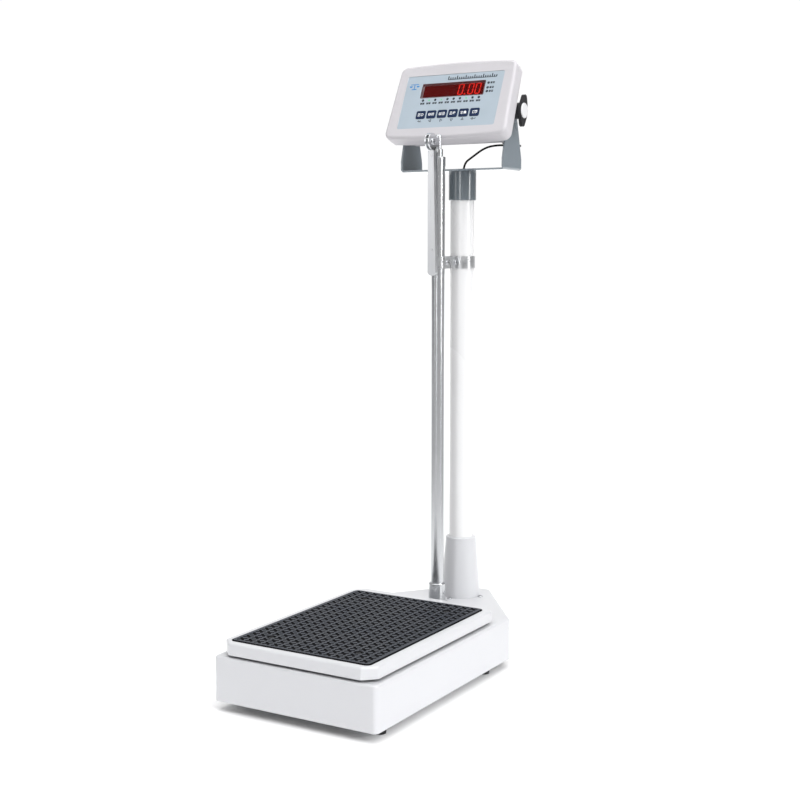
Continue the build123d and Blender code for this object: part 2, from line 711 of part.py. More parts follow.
# Clamp: two pressed straps that hold the rod to the column.
clamp_screw_places = (164.5, 194.0)
clamp_screw_radius = 2.0
clamp_screw_z = clamp_z + clamp_height / 2
strap_reach = clamp_gap / 2 + clamp_sheet
for side, name in ((-1, "left"), (1, "right")):
    with BuildPart() as clamp_strap:
        with BuildSketch(Plane.XY.offset(clamp_z)):
            with Locations((0, column_y)):
                Circle(column_radius + clamp_sheet)
            with Locations((0, rod_y)):
                Circle(outer_radius + clamp_sheet)
            with Locations((0, (column_y + rod_y) / 2)):
                Rectangle(2 * strap_reach, column_y - rod_y)
            with Locations((0, column_y)):
                Circle(column_radius, mode=Mode.SUBTRACT)
            with Locations((0, rod_y)):
                Circle(outer_radius, mode=Mode.SUBTRACT)
            with Locations((side * clamp_gap / 2, (column_y + rod_y) / 2)):
                Rectangle(column_y, 2 * column_y, mode=Mode.SUBTRACT,
                          align=(Align.MAX if side > 0 else Align.MIN, Align.CENTER))
        extrude(amount=clamp_height)
        for y in clamp_screw_places:
            with Locations(Pos(0, y, clamp_screw_z) * Rot(0, 90, 0)):
                Cylinder(clamp_screw_radius, 4 * strap_reach, mode=Mode.SUBTRACT)
    keep(clamp_strap, f"clamp_strap_{name}")

nut_across = 7.0
nut_height = 3.2
clamp_screw_head = (4.2, 2.4)
clamp_screw_end = 1.5         # length of the screw beyond its nut
with BuildPart() as clamp_fasteners:
    for y in clamp_screw_places:
        with Locations(Pos(strap_reach, y, clamp_screw_z) * Rot(0, 90, 0)):
            add(pan_screw(*clamp_screw_head, clamp_screw_radius,
                          2 * strap_reach + nut_height + clamp_screw_end))
        with Locations(Pos(-strap_reach, y, clamp_screw_z) * Rot(0, -90, 0)):
            add(hex_bolt(nut_across, nut_height, clamp_screw_radius, clamp_sheet))
keep(clamp_fasteners, "clamp_fasteners")

# ================================================================ indicator
face_plane = Plane(
    origin=(
        0,
        bracket_y - pivot_depth * cos(radians(face_tilt)),
        pivot_z + pivot_depth * sin(radians(face_tilt)),
    ),
    x_dir=(1, 0, 0),
    z_dir=(0, -cos(radians(face_tilt)), sin(radians(face_tilt))),
)
face_axis = Axis(face_plane.origin, face_plane.z_dir)

with BuildSketch() as bezel_outline:
    with BuildLine():
        ThreePointArc(
            (-bezel_bottom_half, bezel_bottom),
            (0, bezel_bottom - bezel_crown),
            (bezel_bottom_half, bezel_bottom),
        )
        Line((bezel_bottom_half, bezel_bottom), (bezel_top_half, bezel_top))
        ThreePointArc(
            (bezel_top_half, bezel_top),
            (0, bezel_top + bezel_crown),
            (-bezel_top_half, bezel_top),
        )
        Line((-bezel_top_half, bezel_top), (-bezel_bottom_half, bezel_bottom))
    make_face()
    fillet(bezel_outline.vertices(), bezel_corner)

shell_wall = 2.6
face_edge = 5.0
recess_depth = 1.2
face_back = 3.7               # back of the face plate behind the front face
panel_size = (179.0, 97.0)
panel_corner = 3.0
panel_middle = 2.7
panel_front = 0.6
window_size = (117.2, 26.6)
window_corner = 2.0
window_middle = 22.6
window_back = 3.0
window_light = (111.0, 21.0)
light_corner = 1.5
fit_gap = 0.2
key_size = (17.2, 14.5)
key_corner = 2.5
key_edge = 0.6
key_middle = -21.4
key_pitch = 19.9
key_count = 6
key_proud = 0.1
key_gap = 0.2
led_radius = 1.15
led_hole = 1.25
led_row_middle = 5.3
led_pitch = 11.5
led_side_x = 64.0
led_side_places = (30.6, 22.0, 15.3)
board_top = 12.0
board_thickness = 1.6
board_size = (176.0, 88.0)
post_places = [(x, panel_middle + y) for x in (-84.0, 84.0) for y in (-40.0, 40.0)]
shell_screw_places = ((-98.0, -48.0), (98.0, -48.0), (-95.0, 57.0), (95.0, 57.0))
shell_screw_radius = 1.5
shell_screw_head = (3.2, 2.0)
shell_screw_grip = 8.0
screw_boss_radius = 4.0
post_radius = 3.0
led_count = 10
led_places = [(led_pitch * (i - (led_count - 1) / 2), led_row_middle) for i in range(led_count)]
led_places += [(led_side_x, y) for y in led_side_places]
key_places = [(key_pitch * (i - (key_count - 1) / 2), key_middle) for i in range(key_count)]

with BuildPart() as indicator_front_shell:
    with BuildSketch(face_plane.offset(-front_shell_depth)):
        add(bezel_outline.sketch)
    extrude(amount=front_shell_depth)
    fillet(indicator_front_shell.faces().sort_by(face_axis)[-1].edges(), face_edge)
    with BuildSketch(face_plane.offset(-front_shell_depth)):
        offset(bezel_outline.sketch, amount=-shell_wall)
    extrude(amount=front_shell_depth - face_back, mode=Mode.SUBTRACT)
    with BuildSketch(face_plane.offset(-recess_depth)):
        with Locations((0, panel_middle)):
            RectangleRounded(panel_size[0] + fit_gap, panel_size[1] + fit_gap,
                             panel_corner + fit_gap / 2)
    extrude(amount=recess_depth, mode=Mode.SUBTRACT)
    with BuildSketch(face_plane.offset(-window_back)):
        with Locations((0, window_middle)):
            RectangleRounded(window_size[0] + fit_gap, window_size[1] + fit_gap,
                             window_corner + fit_gap / 2)
    extrude(amount=window_back, mode=Mode.SUBTRACT)
    with BuildSketch(face_plane.offset(-face_back)):
        with Locations((0, window_middle)):
            RectangleRounded(*window_light, light_corner)
        with Locations(*key_places):
            RectangleRounded(key_size[0] + 2 * key_gap, key_size[1] + 2 * key_gap,
                             key_corner + key_gap)
        with Locations(*led_places):
            Circle(led_hole)
    extrude(amount=face_back, mode=Mode.SUBTRACT)
    with BuildSketch(face_plane.offset(-face_back)):
        with Locations(*shell_screw_places):
            Circle(screw_boss_radius)
    extrude(amount=-(front_shell_depth - face_back))
    with BuildSketch(face_plane.offset(-face_back)):
        with Locations(*post_places):
            Circle(post_radius)
    extrude(amount=-(board_top - face_back))
    with BuildSketch(face_plane.offset(-front_shell_depth)):
        with Locations(*shell_screw_places):
            Circle(shell_screw_radius)
    extrude(amount=shell_screw_grip, mode=Mode.SUBTRACT)
keep(indicator_front_shell, "indicator_front_shell")

parting_step = 0.8
rear_wall = 2.5
rear_corner = 8.0
rear_edge = 5.0
rear_size = (2 * rear_half_width, rear_top - rear_bottom)
rear_middle = (rear_top + rear_bottom) / 2
boss_radius = 9.0
boss_length = 15.0
stud_radius = 3.0
stud_hole_end = 1.5           # wall left at the blind end of the stud's hole
gland_place = (55.0, -25.0)
gland_stub_radius = 4.0
with BuildPart() as indicator_rear_shell:
    with BuildSketch(face_plane.offset(-rim_depth)):
        offset(bezel_outline.sketch, amount=-parting_step)
    extrude(amount=rim_depth - front_shell_depth)
    with BuildSketch(face_plane.offset(-rear_depth)):
        with Locations((0, rear_middle)):
            RectangleRounded(*rear_size, rear_corner)
    extrude(amount=rear_depth - rim_depth)
    fillet(indicator_rear_shell.faces().sort_by(face_axis)[0].edges(), rear_edge)
    with BuildSketch(face_plane.offset(-front_shell_depth)):
        offset(bezel_outline.sketch, amount=-shell_wall - parting_step)
    extrude(amount=-(rim_depth - rear_wall - front_shell_depth), mode=Mode.SUBTRACT)
    with BuildSketch(face_plane.offset(-front_shell_depth)):
        with Locations((0, rear_middle)):
            RectangleRounded(rear_size[0] - 2 * rear_wall, rear_size[1] - 2 * rear_wall,
                             rear_corner - rear_wall)
    extrude(amount=-(rear_depth - rear_wall - front_shell_depth), mode=Mode.SUBTRACT)
    for side in (-1, 1):
        with Locations(Pos(side * rear_half_width, bracket_y, pivot_z) * Rot(0, -90 * side, 0)):
            Cylinder(boss_radius, boss_length, align=(Align.CENTER, Align.CENTER, Align.MIN))
    for side in (-1, 1):
        with Locations(Pos(side * rear_half_width, bracket_y, pivot_z) * Rot(0, -90 * side, 0)):
            Cylinder(stud_radius + running, boss_length - stud_hole_end, mode=Mode.SUBTRACT,
                     align=(Align.CENTER, Align.CENTER, Align.MIN))
    with BuildSketch(face_plane.offset(-rear_depth)):
        with Locations(gland_place):
            Circle(gland_stub_radius)
    extrude(amount=2 * rear_wall, mode=Mode.SUBTRACT)
    with BuildSketch(face_plane.offset(-rim_depth)):
        with Locations(*shell_screw_places):
            Circle(shell_screw_radius)
    extrude(amount=2 * rear_wall, mode=Mode.SUBTRACT)
keep(indicator_rear_shell, "indicator_rear_shell")

with BuildPart() as membrane_panel:
    with BuildSketch(face_plane.offset(-recess_depth)):
        with Locations((0, panel_middle)):
            RectangleRounded(*panel_size, panel_corner)
        with Locations((0, window_middle)):
            RectangleRounded(window_size[0] + fit_gap, window_size[1] + fit_gap,
                             window_corner + fit_gap / 2, mode=Mode.SUBTRACT)
        with Locations(*key_places):
            RectangleRounded(key_size[0] + 2 * key_gap, key_size[1] + 2 * key_gap,
                             key_corner + key_gap, mode=Mode.SUBTRACT)
        with Locations(*led_places):
            Circle(led_hole, mode=Mode.SUBTRACT)
    extrude(amount=recess_depth - panel_front)
keep(membrane_panel, "membrane_panel")

with BuildPart() as display_window:
    with BuildSketch(face_plane.offset(-window_back)):
        with Locations((0, window_middle)):
            RectangleRounded(*window_size, window_corner)
    extrude(amount=window_back - panel_front)
keep(display_window, "display_window")

module_size = (114.0, 24.0)
module_front = 4.2
with BuildPart() as display_module:
    with BuildSketch(face_plane.offset(-board_top)):
        with Locations((0, window_middle)):
            Rectangle(*module_size)
    extrude(amount=board_top - module_front)
keep(display_module, "display_module")

with BuildPart() as status_leds:
    with BuildSketch(face_plane.offset(-board_top)):
        with Locations(*led_places):
            Circle(led_radius)
    extrude(amount=board_top - panel_front)
keep(status_leds, "status_leds")

switch_size = 6.0
key_back = 3.0
key_travel = 0.5
switch_gap = 0.1              # between a pressed key and its switch
with BuildPart() as main_board:
    with BuildSketch(face_plane.offset(-board_top)):
        with Locations((0, panel_middle)):
            Rectangle(*board_size)
    extrude(amount=-board_thickness)
    with BuildSketch(face_plane.offset(-board_top)):
        with Locations(*key_places):
            Rectangle(switch_size, switch_size)
    extrude(amount=board_top - key_back - key_travel - switch_gap)
keep(main_board, "main_board")

battery_size = (97.0, 52.0, 24.0)
battery_middle = (-23.5, -14.0)
battery_corner = 3.0
with BuildPart() as battery:
    with BuildSketch(face_plane.offset(-(rear_depth - rear_wall))):
        with Locations(battery_middle):
            RectangleRounded(battery_size[0], battery_size[1], battery_corner)
    extrude(amount=battery_size[2])
keep(battery, "battery")

with BuildPart() as shell_screws:
    with Locations(*[face_plane.offset(-rim_depth).location * Pos(x, y, 0) * Rot(180, 0, 0)
                     for x, y in shell_screw_places]):
        add(pan_screw(*shell_screw_head, shell_screw_radius,
                      rim_depth - front_shell_depth + shell_screw_grip))
keep(shell_screws, "shell_screws")

gland_nut = 4.0
gland_nut_across = 14.0
boot_end = 80.0
boot_radii = (5.0, 2.4)
with BuildPart() as cable_gland:
    with BuildSketch(face_plane.offset(-rear_depth)):
        with Locations(gland_place):
            RegularPolygon(gland_nut_across / 2, 6, major_radius=False)
    extrude(amount=-gland_nut)
    with BuildSketch(face_plane.offset(-rear_depth - gland_nut)):
        with Locations(gland_place):
            Circle(boot_radii[0])
    with BuildSketch(face_plane.offset(-boot_end)):
        with Locations(gland_place):
            Circle(boot_radii[1])
    loft()
    with BuildSketch(face_plane.offset(-rear_depth)):
        with Locations(gland_place):
            Circle(gland_stub_radius)
    extrude(amount=2 * rear_wall)
    with BuildSketch(face_plane.offset(-boot_end)):
        with Locations(gland_place):
            Circle(cable_radius + running)
    extrude(amount=boot_end, mode=Mode.SUBTRACT)
keep(cable_gland, "cable_gland")

washer_thickness = 3.2
washer_radius = 10.0
with BuildPart() as pivot_washers:
    for side in (-1, 1):
        with Locations(Pos(side * rear_half_width, bracket_y, pivot_z) * Rot(0, 90 * side, 0)):
            Cylinder(washer_radius, washer_thickness,
                     align=(Align.CENTER, Align.CENTER, Align.MIN))
            Cylinder(pivot_hole_radius, washer_thickness, mode=Mode.SUBTRACT,
                     align=(Align.CENTER, Align.CENTER, Align.MIN))
keep(pivot_washers, "pivot_washers")

for number, place in enumerate(key_places, start=1):
    with BuildPart() as key:
        with BuildSketch(face_plane.offset(-key_back)):
            with Locations(place):
                RectangleRounded(*key_size, key_corner)
        extrude(amount=key_back + key_proud)
        fillet(key.faces().sort_by(face_axis)[-1].edges(), key_edge)
    keep(key, f"key_{number}")

# ================================================================ tilt knobs
knob_gap = 0.4
hub_radius = 13.0
wing_start = 111.0
wing_thickness = 5.0
wing_reach = 26.0
wing_tip_radius = 6.5
wing_turn = 10.0              # degrees from upright
cap_radius = 12.5
cap_rim = 1.0
cap_edge = 2.5
cap_bed = 1.5                 # thickness of the wing behind the cap
cap_start = wing_start + cap_bed
stud_end = 76.0
cap_end = 117.5
for side, name in ((-1, "left"), (1, "right")):
    with BuildPart() as knob:
        hub_start = bracket_half_width + knob_gap
        with Locations(Pos(side * hub_start, bracket_y, pivot_z) * Rot(0, 90 * side, 0)):
            Cylinder(hub_radius, wing_start - hub_start,
                     align=(Align.CENTER, Align.CENTER, Align.MIN))
        with BuildSketch(Plane.YZ.offset(side * wing_start)):
            with Locations(Pos(bracket_y, pivot_z) * Rot(0, 0, -wing_turn)):
                Circle(cap_radius + cap_rim)
                with Locations((0, wing_reach - wing_tip_radius), (0, wing_tip_radius - wing_reach)):
                    Circle(wing_tip_radius)
            make_hull()
        extrude(amount=side * wing_thickness)
        with Locations(Pos(side * cap_start, bracket_y, pivot_z) * Rot(0, 90 * side, 0)):
            Cylinder(cap_radius, wing_thickness, mode=Mode.SUBTRACT,
                     align=(Align.CENTER, Align.CENTER, Align.MIN))
        with Locations(Pos(side * hub_start, bracket_y, pivot_z) * Rot(0, 90 * side, 0)):
            Cylinder(stud_radius, wing_start, mode=Mode.SUBTRACT,
                     align=(Align.CENTER, Align.CENTER, Align.MIN))
    keep(knob, f"knob_{name}")
    with BuildPart() as knob_screw:
        with Locations(Pos(side * cap_start, bracket_y, pivot_z) * Rot(0, 90 * side, 0)):
            Cylinder(cap_radius, cap_end - cap_start,
                     align=(Align.CENTER, Align.CENTER, Align.MIN))
        fillet(knob_screw.edges().group_by(Axis.X)[-1 if side > 0 else 0], cap_edge)
        with Locations(Pos(side * cap_start, bracket_y, pivot_z) * Rot(0, 90 * side, 0)):
            Cylinder(stud_radius, cap_start - stud_end,
                     align=(Align.CENTER, Align.CENTER, Align.MAX))
    keep(knob_screw, f"knob_screw_{name}")

# ================================================================ signal cable
bend_share = 0.45             # of a run beside a bend that the bend takes up
gland_run_depths = (99.0, 15.0)


def bend_radii(points):
    """Bend radius at each inner point of a route, from the lengths of the runs beside it."""
    radii = []
    for before, here, after in zip(points, points[1:], points[2:]):
        arriving = Vector(*here) - Vector(*before)
        leaving = Vector(*after) - Vector(*here)
        half_turn = radians(arriving.get_angle(leaving)) / 2
        radii.append(bend_share * min(arriving.length, leaving.length) / tan(half_turn))
    return radii


gland_run = [face_plane.from_local_coords((*gland_place, -depth)) for depth in gland_run_depths]
signal_route = [
    (0, -23.5, 44),
    (0, 60, 44),
    (0, 120, 46),
    (0, 180, 50),
    (0, 214, 72),
    (0, 221, 115),
    (0, 221, 735),
    (0, 224, 780),
    (0, 224, 813.5),
    (17, 225.5, 825),
    (38, 227, 838.5),
    (58, 228, 842),
    (78, 231, 841.5),
    (88, 245, 841.5),
    (87, 264, 842),
    (75, 272, 843),
    (60, 269, 844.5),
    *[tuple(point) for point in gland_run],
]
with BuildPart() as signal_cable:
    with BuildLine() as route:
        FilletPolyline(*signal_route, radius=bend_radii(signal_route))
    with BuildSketch(Plane(origin=route.line @ 0, z_dir=route.line % 0)):
        Circle(cable_radius)
    sweep(path=route.line)
keep(signal_cable, "signal_cable")
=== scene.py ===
import json
from math import atan2, cos, pi, radians, sin

import bmesh
import bpy
from mathutils import Matrix, Vector


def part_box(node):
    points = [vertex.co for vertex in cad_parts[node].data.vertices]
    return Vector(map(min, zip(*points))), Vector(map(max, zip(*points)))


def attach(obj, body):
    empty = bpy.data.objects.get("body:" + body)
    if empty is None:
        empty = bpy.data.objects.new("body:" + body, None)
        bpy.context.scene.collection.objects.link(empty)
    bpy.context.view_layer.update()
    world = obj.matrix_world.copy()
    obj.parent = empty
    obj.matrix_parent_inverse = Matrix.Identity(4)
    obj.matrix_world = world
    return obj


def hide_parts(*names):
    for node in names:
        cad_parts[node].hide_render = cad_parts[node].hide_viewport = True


# Looks of the physician scale. Lengths are in metres, except the sketches on the indicator's
# face, the mat's pattern and the cable's route, which are in millimetres.

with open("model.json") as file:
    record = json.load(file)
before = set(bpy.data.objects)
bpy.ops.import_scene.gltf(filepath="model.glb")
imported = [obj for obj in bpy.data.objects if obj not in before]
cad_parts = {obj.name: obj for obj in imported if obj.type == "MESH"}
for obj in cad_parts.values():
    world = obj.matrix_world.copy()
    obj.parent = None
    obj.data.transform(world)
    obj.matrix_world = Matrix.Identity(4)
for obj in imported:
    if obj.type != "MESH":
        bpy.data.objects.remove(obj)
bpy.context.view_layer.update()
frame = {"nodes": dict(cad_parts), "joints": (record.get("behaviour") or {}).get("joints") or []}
nodes = frame["nodes"]
joints = {joint["name"]: joint for joint in frame["joints"]}
MM = 0.001
KEYS = 6


# ---------------------------------------------------------------- meshes
def show(name, mesh, body, material):
    """Put a mesh in the scene as a piece that rides on a body."""
    piece = bpy.data.objects.new(name, mesh)
    bpy.context.scene.collection.objects.link(piece)
    mesh.materials.append(material)
    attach(piece, body)
    return piece


def mesh_from(name, bm, smooth=False):
    """Turn a bmesh into a mesh with outward normals."""
    bmesh.ops.recalc_face_normals(bm, faces=bm.faces)
    for face in bm.faces:
        face.smooth = smooth
    mesh = bpy.data.meshes.new(name)
    bm.to_mesh(mesh)
    bm.free()
    return mesh


# ---------------------------------------------------------------- materials
def add_node(tree, kind, **inputs):
    """New shader node with some of its inputs set."""
    made = tree.nodes.new(kind)
    for key, value in inputs.items():
        made.inputs[key.replace("_", " ")].default_value = value
    return made


def shade(colour, factor):
    """Colour times a factor, with full alpha."""
    return tuple(min(1.0, channel * factor) for channel in colour[:3]) + (1.0,)


def object_space(tree, stretch):
    """Object coordinates, scaled differently along each axis."""
    place = tree.nodes.new("ShaderNodeTexCoord")
    mapping = add_node(tree, "ShaderNodeMapping", Scale=stretch)
    tree.links.new(place.outputs["Object"], mapping.inputs["Vector"])
    return mapping.outputs["Vector"]


def noise(tree, vector, scale, detail=3.0):
    """Noise value over a coordinate."""
    made = add_node(tree, "ShaderNodeTexNoise", Scale=scale, Detail=detail)
    tree.links.new(vector, made.inputs["Vector"])
    return made.outputs["Fac"]


def spread(tree, value, low, high):
    """Map the middle of a noise value onto a range."""
    made = add_node(tree, "ShaderNodeMapRange", From_Min=0.3, From_Max=0.7, To_Min=low, To_Max=high)
    tree.links.new(value, made.inputs["Value"])
    return made.outputs["Result"]


def mix_colours(tree, factor, first, second):
    """Blend of two colours; each is a colour or another node's output."""
    made = tree.nodes.new("ShaderNodeMix")
    made.data_type = "RGBA"
    tree.links.new(factor, made.inputs["Factor"])
    for socket, colour in ((made.inputs[6], first), (made.inputs[7], second)):
        if isinstance(colour, tuple):
            socket.default_value = colour
        else:
            tree.links.new(colour, socket)
    return made.outputs[2]


def surface(
    name,
    colour,
    roughness,
    metallic=0.0,
    coat=0.0,
    contrast=0.05,
    patches=14.0,
    grain=900.0,
    grain_depth=0.00002,
    stretch=(1, 1, 1),
    roughness_spread=0.06,
    specular=0.5,
):
    """Material whose colour, roughness and relief all vary a little over the surface."""
    material = bpy.data.materials.new(name)
    material.use_nodes = True
    tree = material.node_tree
    shader = tree.nodes["Principled BSDF"]
    vector = object_space(tree, stretch)
    broad = noise(tree, vector, patches)
    fine = noise(tree, vector, grain, detail=2.0)
    tone = mix_colours(tree, spread(tree, broad, 0, 1), shade(colour, 1 - contrast),
                       shade(colour, 1 + contrast))
    tree.links.new(tone, shader.inputs["Base Color"])
    rough = spread(tree, broad, roughness - roughness_spread / 2, roughness + roughness_spread / 2)
    tree.links.new(rough, shader.inputs["Roughness"])
    bump = add_node(tree, "ShaderNodeBump", Strength=0.5, Distance=grain_depth)
    tree.links.new(fine, bump.inputs["Height"])
    tree.links.new(bump.outputs["Normal"], shader.inputs["Normal"])
    shader.inputs["Metallic"].default_value = metallic
    shader.inputs["Specular IOR Level"].default_value = specular
    shader.inputs["Coat Weight"].default_value = coat
    shader.inputs["Coat Roughness"].default_value = 0.08
    return material


def glowing(name, colour, strength, unlit):
    """Lit display segment or lamp, a little uneven across its face."""
    material = surface(name, unlit, 0.35, contrast=0.1, patches=500.0)
    tree = material.node_tree
    shader = tree.nodes["Principled BSDF"]
    vector = object_space(tree, (1, 1, 1))
    uneven = noise(tree, vector, 700.0)
    glow = mix_colours(tree, spread(tree, uneven, 0, 1), shade(colour, 0.9), shade(colour, 1.0))
    tree.links.new(glow, shader.inputs["Emission Color"])
    shader.inputs["Emission Strength"].default_value = strength
    return material


def graduated(name, colour):
    """Drawn aluminium with a printed scale on the side that faces the platform."""
    ink = (0.01, 0.01, 0.012, 1.0)
    # pitch, line width and half length of the millimetre and the centimetre marks
    mark_sizes = ((0.001, 0.00022, 0.0011), (0.01, 0.0004, 0.0026))
    material = surface(name, colour, 0.24, metallic=1.0, contrast=0.05, patches=5.0, grain=260.0,
                       stretch=(60, 60, 1))
    tree = material.node_tree
    shader = tree.nodes["Principled BSDF"]
    place = tree.nodes.new("ShaderNodeTexCoord")
    axes = tree.nodes.new("ShaderNodeSeparateXYZ")
    tree.links.new(place.outputs["Object"], axes.inputs["Vector"])

    def calculate(operation, first, second):
        made = tree.nodes.new("ShaderNodeMath")
        made.operation = operation
        for socket, value in ((made.inputs[0], first), (made.inputs[1], second)):
            if isinstance(value, (int, float)):
                socket.default_value = value
            else:
                tree.links.new(value, socket)
        return made.outputs[0]

    height = axes.outputs["Z"]
    front = calculate("LESS_THAN", axes.outputs["Y"], rod_axis.y)
    marks = None
    for pitch, line, half_length in mark_sizes:
        on_line = calculate("LESS_THAN", calculate("FLOORED_MODULO", height, pitch), line)
        across = calculate("ABSOLUTE", axes.outputs["X"], 0.0)
        in_reach = calculate("LESS_THAN", across, half_length)
        mark = calculate("MULTIPLY", calculate("MULTIPLY", on_line, in_reach), front)
        marks = mark if marks is None else calculate("MAXIMUM", marks, mark)
    plain = shader.inputs["Base Color"].links[0].from_socket
    inked = mix_colours(tree, marks, plain, ink)
    tree.links.new(inked, shader.inputs["Base Color"])
    tree.links.new(calculate("SUBTRACT", 1.0, marks), shader.inputs["Metallic"])
    return material


rod_low, rod_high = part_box("outer_rod_tube")
rod_axis = (rod_low + rod_high) / 2

white_paint = surface("white_paint", (0.76, 0.76, 0.765), 0.28, coat=0.25, contrast=0.008,
                      patches=2.5, grain=420.0, grain_depth=0.00003, roughness_spread=0.02)
# Darker copy of the white paint for the base, the tray and the socket: painted shade, which keeps
# these parts darker than the white column.
base_shade_paint = surface("base_shade_paint", (0.55, 0.555, 0.575), 0.3, coat=0.2, contrast=0.008,
                     patches=2.5, grain=420.0, grain_depth=0.00003, roughness_spread=0.02)
grey_paint = surface("grey_paint", (0.19, 0.225, 0.255), 0.3, coat=1.0, contrast=0.05, patches=18.0,
                     grain=700.0, grain_depth=0.00003)
# Darker copy of the bracket's grey paint for the column's collar: painted shade.
collar_shade_paint = surface("collar_shade_paint", (0.125, 0.15, 0.17), 0.3, coat=1.0, contrast=0.05,
                       patches=18.0, grain=700.0, grain_depth=0.00002)
zinc = surface("zinc_plate", (0.60, 0.61, 0.62), 0.32, metallic=1.0, contrast=0.16, patches=70.0,
               roughness_spread=0.16)
cell_metal = surface("milled_aluminium", (0.72, 0.73, 0.75), 0.3, metallic=1.0, contrast=0.08,
                     patches=8.0, grain=300.0, stretch=(1, 40, 1))
screw_metal = surface("screw_steel", (0.56, 0.57, 0.59), 0.26, metallic=1.0, contrast=0.12,
                      patches=160.0)
dark_screw_metal = surface("dark_screw_steel", (0.012, 0.012, 0.014), 0.5, metallic=0.2,
                           contrast=0.2, patches=200.0, specular=0.2)
foot_rubber = surface("foot_rubber", (0.012, 0.012, 0.013), 0.62, contrast=0.25, patches=60.0,
                      grain=1500.0, grain_depth=0.00006)
mat_rubber = surface("mat_rubber", (0.029, 0.034, 0.045), 0.5, contrast=0.14, patches=25.0,
                     grain=1800.0, grain_depth=0.00003, roughness_spread=0.1, specular=0.22)
# Near-black copy of the mat's rubber for the walls of the cuts, the mat's edge and the screw holes:
# painted shade in these recesses.
groove_shade_rubber = surface("groove_shade_rubber", (0.003, 0.003, 0.004), 0.85, contrast=0.3, patches=40.0,
                        specular=0.1)
rod_metal = surface("drawn_aluminium", (0.57, 0.58, 0.595), 0.26, metallic=1.0, contrast=0.05,
                    patches=5.0, grain=260.0, grain_depth=0.00001, stretch=(60, 60, 1),
                    roughness_spread=0.03)
bright_metal = surface("bright_zinc", (0.70, 0.71, 0.73), 0.17, metallic=1.0, contrast=0.1,
                       patches=50.0, roughness_spread=0.1)
arm_metal = surface("arm_aluminium", (0.70, 0.71, 0.73), 0.28, metallic=1.0, contrast=0.02,
                    patches=6.0, grain=300.0, grain_depth=0.000008, stretch=(50, 50, 1),
                    roughness_spread=0.02)
shell_plastic = surface("shell_plastic", (0.58, 0.565, 0.59), 0.42, contrast=0.02, patches=9.0,
                        grain=2400.0, grain_depth=0.00005, specular=0.4)
panel_film = surface("panel_film", (0.41, 0.485, 0.55), 0.4, contrast=0.03, patches=30.0,
                     grain=3000.0, grain_depth=0.00002)
print_dark = surface("printed_dark", (0.008, 0.012, 0.02), 0.5, contrast=0.2, patches=300.0,
                     specular=0.15)
print_white = surface("printed_white", (0.85, 0.87, 0.9), 0.4, contrast=0.04, patches=300.0)
key_navy = surface("key_navy", (0.010, 0.024, 0.068), 0.45, contrast=0.12, patches=120.0,
                   grain=2500.0, grain_depth=0.00003, specular=0.2)
module_black = surface("module_black", (0.17, 0.004, 0.004), 0.6, contrast=0.12, patches=90.0,
                       specular=0.1)
guide_nylon = surface("guide_nylon", (0.04, 0.04, 0.045), 0.5, contrast=0.15, patches=90.0)
board_green = surface("board_green", (0.01, 0.09, 0.035), 0.35, contrast=0.3, patches=220.0)
battery_grey = surface("battery_case", (0.05, 0.05, 0.06), 0.45, contrast=0.12, patches=50.0)
cap_pale = surface("cap_pale", (0.72, 0.72, 0.73), 0.4, contrast=0.03, patches=60.0, grain=1500.0)
knob_black = surface("knob_black", (0.012, 0.012, 0.014), 0.38, contrast=0.2, patches=90.0,
                     grain=1500.0)
cable_black = surface("cable_sheath", (0.004, 0.004, 0.0045), 0.5, contrast=0.25, patches=120.0,
                      grain=1500.0, specular=0.2)
digit_red = glowing("digit_red", (1.0, 0.022, 0.012), 2.2, (0.5, 0.02, 0.01))
lamp_green = glowing("lamp_green", (0.12, 0.75, 0.3), 0.3, (0.1, 0.4, 0.2))
lamp_dark = surface("lamp_dark", (0.006, 0.008, 0.016), 0.4, contrast=0.2, patches=300.0,
                    specular=0.15)

window_red = surface("window_red", (0.10, 0.002, 0.002), 0.15, contrast=0.06, patches=60.0,
                     grain_depth=0.000004, roughness_spread=0.03, specular=0.12)
window_opacity = 0.42
window_red.node_tree.nodes["Principled BSDF"].inputs["Alpha"].default_value = window_opacity

looks = {
    white_paint: ("column_tube",),
    base_shade_paint: ("base_housing", "platform_tray", "column_socket"),
    grey_paint: ("indicator_bracket",),
    collar_shade_paint: ("column_collar",),
    zinc: ("base_frame", "platform_spider", "arm_tongue", "clamp_strap_left",
           "clamp_strap_right"),
    cell_metal: ("load_cell",),
    screw_metal: ("load_cell_bolts", "foot_screws", "column_base_screws", "bracket_screws",
                  "rod_socket_screw", "clamp_fasteners", "spider_bolts", "arm_pivot_screw",
                  "shell_screws"),
    dark_screw_metal: ("platform_screws",),
    foot_rubber: ("rubber_foot_front_left", "rubber_foot_front_right", "rubber_foot_rear_left",
                  "rubber_foot_rear_right", "cable_grommet", "pivot_washers"),
    rod_metal: ("outer_rod_tube", "rod_socket"),
    bright_metal: ("outer_rod_collar", "middle_rod_collar", "rod_head"),
    cap_pale: ("knob_screw_left", "knob_screw_right"),
    arm_metal: ("measuring_arm", "arm_rivets"),
    shell_plastic: ("indicator_front_shell", "indicator_rear_shell"),
    panel_film: ("membrane_panel",),
    window_red: ("display_window",),
    module_black: ("display_module",),
    guide_nylon: ("middle_rod_guide", "inner_rod_guide"),
    board_green: ("main_board",),
    battery_grey: ("battery",),
    knob_black: ("cable_gland", "knob_left", "knob_right"),
    key_navy: tuple(f"key_{number}" for number in range(1, KEYS + 1)),
    graduated("middle_rod_scale", (0.60, 0.61, 0.63)): ("middle_rod_tube",),
    graduated("inner_rod_scale", (0.60, 0.61, 0.63)): ("inner_rod_tube",),
}
for material, names in looks.items():
    for name in names:
        nodes[name].data.materials.clear()
        nodes[name].data.materials.append(material)
